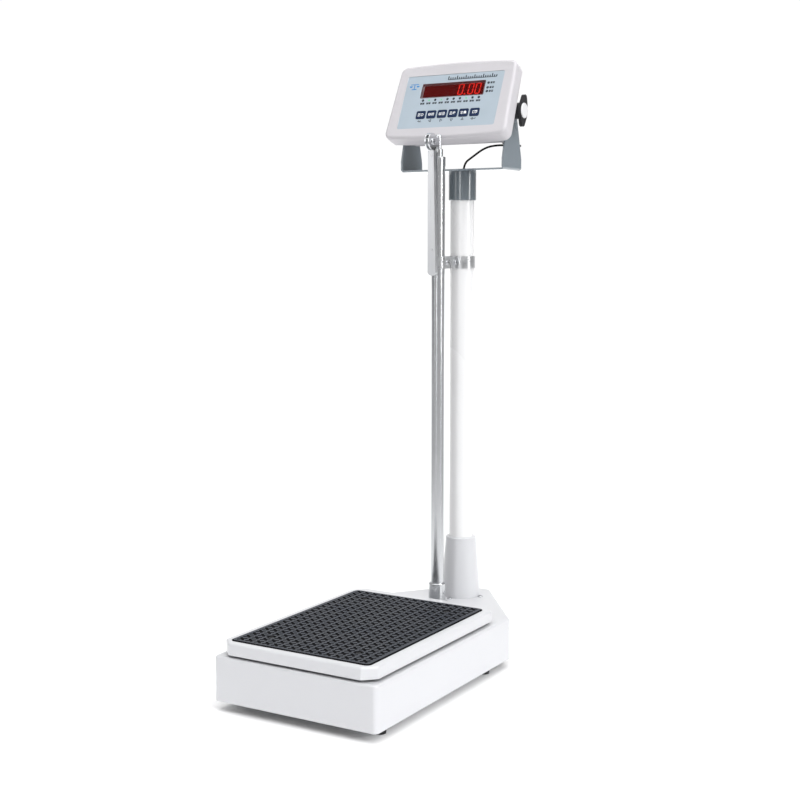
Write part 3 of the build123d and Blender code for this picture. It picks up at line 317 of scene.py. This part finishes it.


# ---------------------------------------------------------------- rubber mat
# Flat rubber with a field of X-shaped cuts, an edge and four dips over the screws; the cuts, the
# edge's bevel and side, and the dips are painted near-black as shade.
mat_columns = 15
mat_rows = 22
mat_hole_x = 76.0
mat_hole_y = 128.5
mat_pitch = (mat_hole_x / 5, mat_hole_y / 8.5)
mat_cut_depth = 1.2
mat_bevel = 0.8
mat_edge_shade_band = 2.0
mat_corner = 8.0
mat_corner_steps = 8
mat_hole_radius = 5.0
mat_hole_shade_band = 2.5
mat_hole_steps = 32
cross_reach = 0.46  # half of an X's width, as a share of the pitch
cross_half = 0.19  # half the width of one of its strokes, along the pitch
mat_weld = 0.00002
RUBBER = 0
RECESS_SHADE = 1


def ring_faces(bm, rings, materials):
    """Strips of faces between neighbouring loops of points, closed from the last to the first."""
    for ring, following in zip(rings, rings[1:] + rings[:1]):
        for level, material in enumerate(materials):
            face = bm.faces.new([ring[level], following[level], following[level + 1],
                                 ring[level + 1]])
            face.material_index = material


def build_mat():
    """The mat as one closed sheet of cells, with a rim around the field."""
    low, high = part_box("rubber_mat")
    middle = (low + high) / 2
    half_x = (high.x - low.x) / 2 / MM
    half_y = (high.y - low.y) / 2 / MM
    top = high.z / MM
    bottom = low.z / MM
    pitch_x, pitch_y = mat_pitch
    field_x = mat_columns * pitch_x / 2
    field_y = mat_rows * pitch_y / 2
    reach = cross_reach
    half = cross_half
    cross = [
        (half, 0), (reach, reach - half), (reach - half, reach), (0, half),
        (half - reach, reach), (-reach, reach - half), (-half, 0), (-reach, half - reach),
        (half - reach, -reach), (0, -half), (reach - half, -reach), (reach, half - reach),
    ]
    bm = bmesh.new()

    def point(x, y, z):
        """Vertex at millimetres from the mat's middle, z from the floor."""
        return bm.verts.new((middle.x + x * MM, middle.y + y * MM, z * MM))

    def cross_cell(x, y):
        """Cell of the field with an X cut into it."""
        rim = [point(x + u * pitch_x, y + v * pitch_y, top) for u, v in cross]
        floor = [point(x + u * pitch_x, y + v * pitch_y, top - mat_cut_depth) for u, v in cross]
        corners = [point(x + u * pitch_x / 2, y + v * pitch_y / 2, top)
                   for u, v in ((1, -1), (1, 1), (-1, 1), (-1, -1))]
        for side in range(4):
            tips = [rim[(3 * side + step) % 12] for step in (-1, 0, 1, 2)]
            after = corners[(side + 1) % 4]
            bm.faces.new([corners[side], tips[0], tips[1], tips[2], after])
            bm.faces.new([after, tips[2], tips[3]])
        # The walls and the floor of the X carry painted shade.
        for index in range(12):
            after = (index + 1) % 12
            wall = bm.faces.new([rim[index], rim[after], floor[after], floor[index]])
            wall.material_index = RECESS_SHADE
        bm.faces.new(floor).material_index = RECESS_SHADE

    def hole_cell(x, y):
        """Cell of the field with a round hole over a screw."""
        rings = []
        for step in range(mat_hole_steps):
            angle = 2 * pi * (step + 0.5) / mat_hole_steps
            u = cos(angle)
            v = sin(angle)
            edge = min(pitch_x / 2 / abs(u), pitch_y / 2 / abs(v))
            reaches = ((edge, top), (mat_hole_radius + mat_hole_shade_band, top),
                       (mat_hole_radius, top - mat_bevel), (mat_hole_radius, bottom))
            rings.append([point(x + u * r, y + v * r, z) for r, z in reaches])
        # The hole's bevel and wall carry painted shade.
        ring_faces(bm, rings, (RUBBER, RECESS_SHADE, RECESS_SHADE))
        for u in (-1, 1):
            for v in (-1, 1):
                corner = point(x + u * pitch_x / 2, y + v * pitch_y / 2, top)
                near = sorted(rings, key=lambda ring: (ring[0].co - corner.co).length)
                bm.faces.new([corner, near[0][0], near[1][0]])

    for column in range(mat_columns):
        for row in range(mat_rows):
            x = (column - (mat_columns - 1) / 2) * pitch_x
            y = (row - (mat_rows - 1) / 2) * pitch_y
            off_x = abs(abs(x) - mat_hole_x)
            off_y = abs(abs(y) - mat_hole_y)
            over_screw = off_x < 1 and off_y < 1
            (hole_cell if over_screw else cross_cell)(x, y)

    loops = []
    for side_x, side_y, start in ((1, 1, 0), (-1, 1, 90), (-1, -1, 180), (1, -1, 270)):
        for step in range(mat_corner_steps + 1):
            angle = radians(start + 90 * step / mat_corner_steps)
            x = side_x * (half_x - mat_corner)
            y = side_y * (half_y - mat_corner)
            loop = [point(side_x * field_x, side_y * field_y, top)]
            for radius, z in ((mat_corner - mat_edge_shade_band, top), (mat_corner, top - mat_bevel),
                              (mat_corner, bottom)):
                loop.append(point(x + radius * cos(angle), y + radius * sin(angle), z))
            loops.append(loop)
    # The mat's bevelled edge and its side carry painted shade.
    ring_faces(bm, loops, (RUBBER, RECESS_SHADE, RECESS_SHADE))
    bmesh.ops.remove_doubles(bm, verts=bm.verts, dist=mat_weld)
    mesh = mesh_from("relief_mat", bm)
    piece = show("relief_mat", mesh, "platform", mat_rubber)
    mesh.materials.append(groove_shade_rubber)
    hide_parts("rubber_mat")


build_mat()

# ---------------------------------------------------------------- indicator's face
# Face coordinates in millimetres: x to the right, y up the face, z out of it.
pivot = Vector(joints["indicator_tilt"]["pos_m"])
inward = Vector(joints["key_1_press"]["axis"]).normalized()
pivot_depth = 41.5  # from the tilt axis to the face
outward = -inward
upward = outward.cross(Vector((1, 0, 0)))
face_frame = Matrix((Vector((1, 0, 0)), upward, outward)).transposed()
face_origin = pivot + outward * pivot_depth * MM
panel_level = -0.6
print_height = 0.05
gland_x = 55.0
gland_y = -25.0


def on_face(x, y, z):
    """Point in the row frame of a place on the indicator's face."""
    return face_origin + face_frame @ Vector((x * MM, y * MM, z * MM))


def bar(x, y, width, height, turn=0.0):
    """Rectangle around a middle, turned anticlockwise by some degrees."""
    c = cos(radians(turn))
    s = sin(radians(turn))
    corners = ((-width, -height), (width, -height), (width, height), (-width, height))
    return [(x + (u * c - v * s) / 2, y + (u * s + v * c) / 2) for u, v in corners]


def arc(x, y, outer, inner, start=0.0, end=360.0, steps=20):
    """Ring, or part of one, as quadrilaterals."""
    turns = [radians(start + (end - start) * step / steps) for step in range(steps + 1)]
    return [
        [(x + r * cos(t), y + r * sin(t)) for r, t in ((outer, a), (outer, b), (inner, b), (inner, a))]
        for a, b in zip(turns, turns[1:])
    ]


def arrow_head(x, y, size, turn):
    """Hollow triangle that points along an angle, as three strokes."""
    points = [(x + size * cos(radians(turn + t)), y + size * sin(radians(turn + t)))
              for t in (0, 120, 240)]
    strokes = []
    for (x0, y0), (x1, y1) in zip(points, points[1:] + points[:1]):
        length = ((x1 - x0) ** 2 + (y1 - y0) ** 2) ** 0.5
        angle = atan2(y1 - y0, x1 - x0) * 180 / pi
        strokes.append(bar((x0 + x1) / 2, (y0 + y1) / 2, length + 0.7, 0.8, angle))
    return strokes


def printed(name, shapes, level, body, material, height=print_height):
    """Flat shapes on the face, each a thin plate."""
    bm = bmesh.new()
    for shape in shapes:
        lower = [bm.verts.new(on_face(x, y, level)) for x, y in shape]
        upper = [bm.verts.new(on_face(x, y, level + height)) for x, y in shape]
        bm.faces.new(upper)
        bm.faces.new(lower[::-1])
        for index in range(len(shape)):
            following = (index + 1) % len(shape)
            bm.faces.new([lower[index], lower[following], upper[following], upper[index]])
    return show(name, mesh_from(name, bm), body, material)


key_pitch = 19.9
key_row = -21.4
key_top = 0.1
glyph_offset = 2.9
glyph_line = 0.9
glyph_ring = (2.5, 1.5)
symbol_row = -32.9
lamp_row = 5.3
lamp_pitch = 11.5
side_lamps = (30.6, 22.0, 15.3)
side_lamp_x = 64.0
lit_lamps = (1, 3, 7)
key_places = [key_pitch * (number - (KEYS - 1) / 2) for number in range(KEYS)]
lamp_places = [lamp_pitch * (number - 4.5) for number in range(10)]


def key_glyph(number, x, y):
    """Generic white pictogram of one key, in two halves."""
    left = x - glyph_offset
    right = x + glyph_offset

    def across(middle, lift=0.0, width=4.8):
        """Level stroke."""
        return bar(middle, y + lift, width, glyph_line)

    def upright(middle, step=0.0, height=4.8):
        """Standing stroke."""
        return bar(middle + step, y, glyph_line, height)

    glyphs = (
        [across(left, lift, 4.6) for lift in (-2.2, 0, 2.2)] + [upright(left, height=5.2)]
        + arc(right, y, *glyph_ring),
        arc(left, y, *glyph_ring) + [across(left)]
        + [upright(right, step) for step in (-1.8, 0, 1.8)] + [across(right, 2)],
        [upright(left, step) for step in (-1.8, 0, 1.8)] + [across(left, -2)]
        + [across(right, lift, 4.6) for lift in (-2.2, 0, 2.2)] + [upright(right, 1.8)],
        [across(left), upright(left), across(left, 2.2, 3.6), across(left, -2.2, 5.2)]
        + arc(right, y, *glyph_ring, 20, 250) + [across(right, width=3.6)],
        [across(left, lift) for lift in (-1.2, 1.2)] + [upright(left, height=5.4)]
        + [bar(right, y, 4.6, 4.0), across(right, 2.4, 2.2)],
        [upright(left, height=5.0), across(left + 1.4, 1.9, 3.0), across(left + 1.4, -1.9, 3.0)]
        + arc(right, y - 0.4, 2.3, 1.3) + [across(right, 2.2, 5.0)],
    )
    return glyphs[number]


for number, x in enumerate(key_places):
    printed(f"key_glyph_{number + 1}", key_glyph(number, x, key_row), key_top,
            f"key_{number + 1}", print_white)

pulse = key_places[0]
enter = key_places[5]
symbols = [bar(pulse - 3.0, symbol_row, 1.8, 0.9), bar(pulse - 1.2, symbol_row, 3.8, 0.9, -60),
           bar(pulse + 0.8, symbol_row, 3.8, 0.9, 60), bar(pulse + 2.4, symbol_row - 1.2, 2.0, 0.9)]
for place, turn in zip(key_places[1:5], (180, 0, 270, 90)):
    symbols += arrow_head(place, symbol_row, 2.5, turn)
symbols += arrow_head(enter - 2.2, symbol_row, 2.1, 180)
symbols += [bar(enter + 1.2, symbol_row, 4.6, 0.9), bar(enter + 3.4, symbol_row + 1.0, 0.9, 2.8)]
printed("key_symbols", symbols, panel_level, "indicator", print_dark)

marks = []
label_row = lamp_row - 5.6
label_sides = (-2.1, 2.1)
label_stem = (1.2, 3.2)
label_dash = (3.4, 1.1)
side_dash = (3.4, 1.2)
lamp_ring = (2.2, 1.2)
lamp_glow_ring = (1.6, 1.2)
for number, x in enumerate(lamp_places):
    marks += [bar(x + side + step, label_row, *label_stem) for side in label_sides
              for step in (-1.1, 1.1)]
    marks += [bar(x + side, label_row + lift, *label_dash) for side in label_sides
              for lift in (-1.3, 0.3)]
    if number not in lit_lamps:
        marks += arc(x, lamp_row, *lamp_ring)
for y in side_lamps:
    marks += [bar(side_lamp_x + offset, y + lift, *side_dash) for offset in (5.2, 9.4)
              for lift in (1.1, -1.1)]
    marks += [bar(side_lamp_x + offset, y, *label_stem) for offset in (4.4, 6.0, 9.4)]
    marks += arc(side_lamp_x, y, *lamp_ring)
printed("lamp_marks", marks, panel_level, "indicator", print_dark)
# A green glowing ring on the panel film around each lit lamp, in place of its printed ring: painted
# glow of the lamp's light.
glow_shapes = [shape for number in lit_lamps for shape in arc(lamp_places[number], lamp_row, *lamp_glow_ring)]
printed("painted_lamp_glow", glow_shapes, panel_level, "indicator", lamp_green)

# A small balance pictogram takes the place of the round mark at the panel's left.
balance_blue = surface("balance_blue", (0.03, 0.22, 0.55), 0.5, contrast=0.1, patches=300.0,
                       specular=0.2)
balance_x = -74.0
balance_y = 32.0
balance = [bar(balance_x, balance_y + 4.0, 15.0, 1.3), bar(balance_x, balance_y, 1.5, 9.0),
           bar(balance_x, balance_y - 5.0, 9.0, 1.5)]
for side in (-6.6, 6.6):
    balance += arc(balance_x + side, balance_y + 1.4, 2.8, 0.3, 180, 360)
printed("balance_mark", balance, panel_level, "indicator", balance_blue)

# A short ruled scale takes the place of the line of lettering above the window.
ruler_start = -12.0
ruler_end = 76.0
ruler_row = 41.0
ruler_ticks = 23
ruler_line = 1.0
tick_width = 1.9
tick_long = 6.4
tick_short = 3.8
ruler = [bar((ruler_start + ruler_end) / 2, ruler_row, ruler_end - ruler_start, ruler_line)]
for tick in range(ruler_ticks):
    x = ruler_start + (ruler_end - ruler_start) * tick / (ruler_ticks - 1)
    height = tick_long if tick % 4 == 0 else tick_short
    ruler.append(bar(x, ruler_row + height / 2, tick_width, height))
printed("panel_ruler", ruler, panel_level, "indicator", print_dark)


# ---------------------------------------------------------------- lights beside the window
def build_lamps(name, places, material):
    """Small round lamps that stand on the board, each with a domed end level with the panel."""
    radius = 1.15
    foot = -12.0
    shoulder = -0.95
    steps = 16
    tip_radius = 0.3
    tip = -0.56
    levels = ((radius, foot), (radius, shoulder), (radius * 0.75, shoulder + 0.3),
              (tip_radius, tip))
    bm = bmesh.new()
    for x, y in places:
        turns = [2 * pi * step / steps for step in range(steps)]
        rings = [
            [bm.verts.new(on_face(x + r * cos(turn), y + r * sin(turn), z)) for turn in turns]
            for r, z in levels
        ]
        for lower, upper in zip(rings, rings[1:]):
            for index in range(steps):
                following = (index + 1) % steps
                bm.faces.new([lower[index], lower[following], upper[following], upper[index]])
        bm.faces.new(rings[-1])
        bm.faces.new(rings[0][::-1])
    piece = show(name, mesh_from(name, bm), "indicator", material)
    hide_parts("status_leds")


lit = [(lamp_places[number], lamp_row) for number in lit_lamps]
dark = [(x, lamp_row) for number, x in enumerate(lamp_places) if number not in lit_lamps]
dark += [(side_lamp_x, y) for y in side_lamps]
build_lamps("lamps_lit", lit, lamp_green)
build_lamps("lamps_dark", dark, lamp_dark)

# ---------------------------------------------------------------- display digits
digit_height = 18.6
digit_width = 8.0
digit_lean = 0.06
digit_centres = (12.8, 31.2, 44.0)
digit_base = 14.6
point_x = 21.6
stroke = 1.8
stroke_gap = 0.3
digit_level = -4.2
digit_thickness = 0.3
point_side = 2.4
point_lift = 0.4
# ends of each stroke of a nought, as column and half-height
SEGMENTS = {
    "a": ((0, 2), (1, 2)), "b": ((1, 1), (1, 2)), "c": ((1, 0), (1, 1)), "d": ((0, 0), (1, 0)),
    "e": ((0, 0), (0, 1)), "f": ((0, 1), (0, 2)),
}


def segment(left, name):
    """One stroke of a digit as a pointed bar that leans with the digit."""
    (x0, y0), (x1, y1) = SEGMENTS[name]
    start = Vector((x0 * digit_width, y0 * digit_height / 2))
    end = Vector((x1 * digit_width, y1 * digit_height / 2))
    along = (end - start).normalized()
    side = Vector((-along.y, along.x)) * stroke / 2
    start = start + along * stroke_gap
    end = end - along * stroke_gap
    inner_start = start + along * stroke / 2
    inner_end = end - along * stroke / 2
    outline = (start, inner_start - side, inner_end - side,
               end, inner_end + side, inner_start + side)
    return [(left + p.x + p.y * digit_lean, digit_base + p.y) for p in outline]


strokes = [bar(point_x, digit_base + point_lift, point_side, point_side)]
for centre in digit_centres:
    strokes += [segment(centre - digit_width / 2, name) for name in SEGMENTS]
printed("digits", strokes, digit_level, "indicator", digit_red, digit_thickness)


# ---------------------------------------------------------------- strain relief ribs
def build_ribs():
    """Moulded rings around the cable's boot, behind the indicator."""
    boot_start = -66.0
    boot_end = -80.0
    boot_radii = (5.0, 2.4)
    rib_count = 5
    rib_radius = 0.55
    around = 28
    section = 8
    bm = bmesh.new()
    for rib in range(rib_count):
        share = (rib + 0.5) / rib_count
        depth = boot_start + (boot_end - boot_start) * share
        radius = boot_radii[0] + (boot_radii[1] - boot_radii[0]) * share
        rings = []
        for step in range(around):
            angle = 2 * pi * step / around
            ring = []
            for turn in range(section):
                tilt = 2 * pi * turn / section
                reach = radius + rib_radius * cos(tilt)
                place = on_face(gland_x + reach * cos(angle), gland_y + reach * sin(angle),
                                depth + rib_radius * sin(tilt))
                ring.append(bm.verts.new(place))
            rings.append(ring)
        for ring, following in zip(rings, rings[1:] + rings[:1]):
            for turn in range(section):
                after = (turn + 1) % section
                bm.faces.new([ring[turn], following[turn], following[after], ring[after]])
    mesh = mesh_from("gland_ribs", bm, smooth=True)
    show("gland_ribs", mesh, "indicator", knob_black)


build_ribs()

# ---------------------------------------------------------------- signal cable
cable_diameter = 3.4 * MM
cable_turn = [on_face(gland_x, gland_y, -depth) for depth in (99.0, 15.0)]
# from the load cell back through the base, up inside the column, out of the grommet and
# around behind the indicator
cable_route = [
    (0, -23.5, 44),
    (0, 60, 44),
    (0, 120, 46),
    (0, 180, 50),
    (0, 214, 72),
    (0, 221, 115),
    (0, 221, 735),
    (0, 224, 780),
    (0, 224, 813.5),
    (17, 225.5, 825),
    (38, 227, 838.5),
    (58, 228, 842),
    (78, 231, 841.5),
    (88, 245, 841.5),
    (87, 264, 842),
    (75, 272, 843),
    (60, 269, 844.5),
]
route = [Vector(point) * MM for point in cable_route] + cable_turn
curve = bpy.data.curves.new("signal_cable_sheath", "CURVE")
curve.dimensions = "3D"
curve.bevel_depth = cable_diameter / 2
curve.bevel_resolution = 4
curve.resolution_u = 12
curve.use_fill_caps = True
spline = curve.splines.new("NURBS")
spline.points.add(len(route) - 1)
for control, point in zip(spline.points, route):
    control.co = (*point, 1.0)
spline.order_u = 3
spline.use_endpoint_u = True
curve.materials.append(cable_black)
cable = bpy.data.objects.new("signal_cable_sheath", curve)
bpy.context.scene.collection.objects.link(cable)
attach(cable, "frame")
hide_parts("signal_cable")
# a bare copy of the curve is made into a mesh, which is then removed again
line = curve.copy()
line.bevel_depth = 0.0
line_object = bpy.data.objects.new("cable_line", line)
line_mesh = bpy.data.meshes.new_from_object(line_object)
bpy.data.objects.remove(line_object)
bpy.data.meshes.remove(line_mesh)
bpy.data.curves.remove(line)


# ---------------------------------------------------------------- stage, light and camera
view_turn = radians(30.94)
view_drop = radians(6.37)
view_forward = Vector((-sin(view_turn), cos(view_turn), 0.0))
view_right = Vector((cos(view_turn), sin(view_turn), 0.0))


def azimuth_share(tree, vector):
    """Direction around the object as 0 to 1: 0.5 is behind it, 0.75 to the right."""
    along = []
    for axis in (view_right, view_forward):
        dot = tree.nodes.new("ShaderNodeVectorMath")
        dot.operation = "DOT_PRODUCT"
        dot.inputs[1].default_value = axis
        tree.links.new(vector, dot.inputs[0])
        along.append(dot.outputs["Value"])
    turn = tree.nodes.new("ShaderNodeMath")
    turn.operation = "ARCTAN2"
    tree.links.new(along[0], turn.inputs[0])
    tree.links.new(along[1], turn.inputs[1])
    share = add_node(tree, "ShaderNodeMapRange", From_Min=-pi, From_Max=pi,
                     To_Min=0.0, To_Max=1.0)
    tree.links.new(turn.outputs[0], share.inputs["Value"])
    return share.outputs["Result"]


def grey_ramp(tree, value, stops):
    """Grey that follows a value through a list of stops."""
    ramp = tree.nodes.new("ShaderNodeValToRGB")
    tree.links.new(value, ramp.inputs["Fac"])
    elements = ramp.color_ramp.elements
    while len(elements) < len(stops):
        elements.new(0.5)
    for element, (position, level) in zip(elements, stops):
        element.position = position
        element.color = (level, level, level, 1.0)
    return ramp.outputs["Color"]


def build_stage():
    """Pale floor, white around and behind the object and greyer far off at its sides."""
    reach = 30.0
    white_radius = 0.9
    grey_radius = 1.5
    far_grey = (0.36, 0.36, 0.365, 1.0)
    bm = bmesh.new()
    corners = ((-reach, -reach), (reach, -reach), (reach, reach), (-reach, reach))
    bm.faces.new([bm.verts.new((x, y, 0.0)) for x, y in corners])
    mesh = mesh_from("floor", bm)
    paper = surface("floor_paper", (0.95, 0.95, 0.955), 0.9, contrast=0.004, patches=1.5,
                    grain=200.0, specular=0.0)
    tree = paper.node_tree
    shader = tree.nodes["Principled BSDF"]
    place = tree.nodes.new("ShaderNodeTexCoord").outputs["Object"]
    wedge = grey_ramp(tree, azimuth_share(tree, place),
                      ((0.0, 0.0), (0.31, 0.0), (0.36, 1.0), (0.64, 1.0), (0.69, 0.0)))
    length = tree.nodes.new("ShaderNodeVectorMath")
    length.operation = "LENGTH"
    tree.links.new(place, length.inputs[0])
    near = add_node(tree, "ShaderNodeMapRange", From_Min=white_radius, From_Max=grey_radius,
                    To_Min=1.0, To_Max=0.0)
    tree.links.new(length.outputs["Value"], near.inputs["Value"])
    white = tree.nodes.new("ShaderNodeMath")
    white.operation = "MAXIMUM"
    tree.links.new(wedge, white.inputs[0])
    tree.links.new(near.outputs["Result"], white.inputs[1])
    plain = shader.inputs["Base Color"].links[0].from_socket
    colour = mix_colours(tree, white.outputs[0], far_grey, plain)
    tree.links.new(colour, shader.inputs["Base Color"])
    mesh.materials.append(paper)
    floor = bpy.data.objects.new("floor", mesh)
    bpy.context.scene.collection.objects.link(floor)


def build_world():
    """Studio room: white behind the object, dark at its left, soft boxes at the front."""
    strength = 15.0
    overhead = 0.85
    world = bpy.data.worlds.new("studio")
    bpy.context.scene.world = world
    world.use_nodes = True
    tree = world.node_tree
    background = tree.nodes["Background"]
    direction = tree.nodes.new("ShaderNodeTexCoord").outputs["Generated"]
    around = grey_ramp(tree, azimuth_share(tree, direction), [
        (position, level / strength) for position, level in (
            (0.0, 0.4), (0.055, 0.4), (0.058, 9.0), (0.07, 9.0), (0.073, 0.25), (0.15, 0.2),
            (0.16, 2.1), (0.185, 2.1), (0.195, 0.04), (0.38, 0.04), (0.42, 1.02), (0.58, 1.02),
            (0.62, 0.25), (0.8, 0.3), (0.822, 0.3), (0.825, 13.0), (0.84, 13.0), (0.843, 0.4),
            (1.0, 0.4),
        )
    ])
    axes = tree.nodes.new("ShaderNodeSeparateXYZ")
    tree.links.new(direction, axes.inputs["Vector"])
    height = add_node(tree, "ShaderNodeMapRange", From_Min=0.35, From_Max=0.75,
                      To_Min=0.0, To_Max=1.0)
    tree.links.new(axes.outputs["Z"], height.inputs["Value"])
    level = overhead / strength
    colour = mix_colours(tree, height.outputs["Result"], around, (level, level, level, 1.0))
    tree.links.new(colour, background.inputs["Color"])
    background.inputs["Strength"].default_value = strength


def sun_light(name, direction, power, softness):
    """Broad distant light that comes from a direction."""
    light = bpy.data.lights.new(name, "SUN")
    light.energy = power
    light.angle = radians(softness)
    lamp = bpy.data.objects.new(name, light)
    lamp.rotation_euler = Vector(direction).to_track_quat("Z", "Y").to_euler()
    bpy.context.scene.collection.objects.link(lamp)


def build_lights():
    """Key from the right and a very soft light from above."""
    sun_light("key_right", (0.80, -0.22, 0.56), 1.15, 30)
    sun_light("top", (0.1, -0.1, 1.0), 1.4, 70)


def build_camera():
    """Camera in front of the scale, to its right and above the middle of the column."""
    camera_data = bpy.data.cameras.new("camera")
    camera_data.lens = 61.33
    camera_data.sensor_width = 36.0
    camera = bpy.data.objects.new("camera", camera_data)
    camera.location = (1.08997, -1.79947, 0.67466)
    camera.rotation_euler = (pi / 2 - view_drop, 0, view_turn)
    bpy.context.scene.collection.objects.link(camera)
    bpy.context.scene.camera = camera


build_stage()
build_world()
build_lights()
build_camera()
bpy.context.scene.view_settings.view_transform = "Standard"
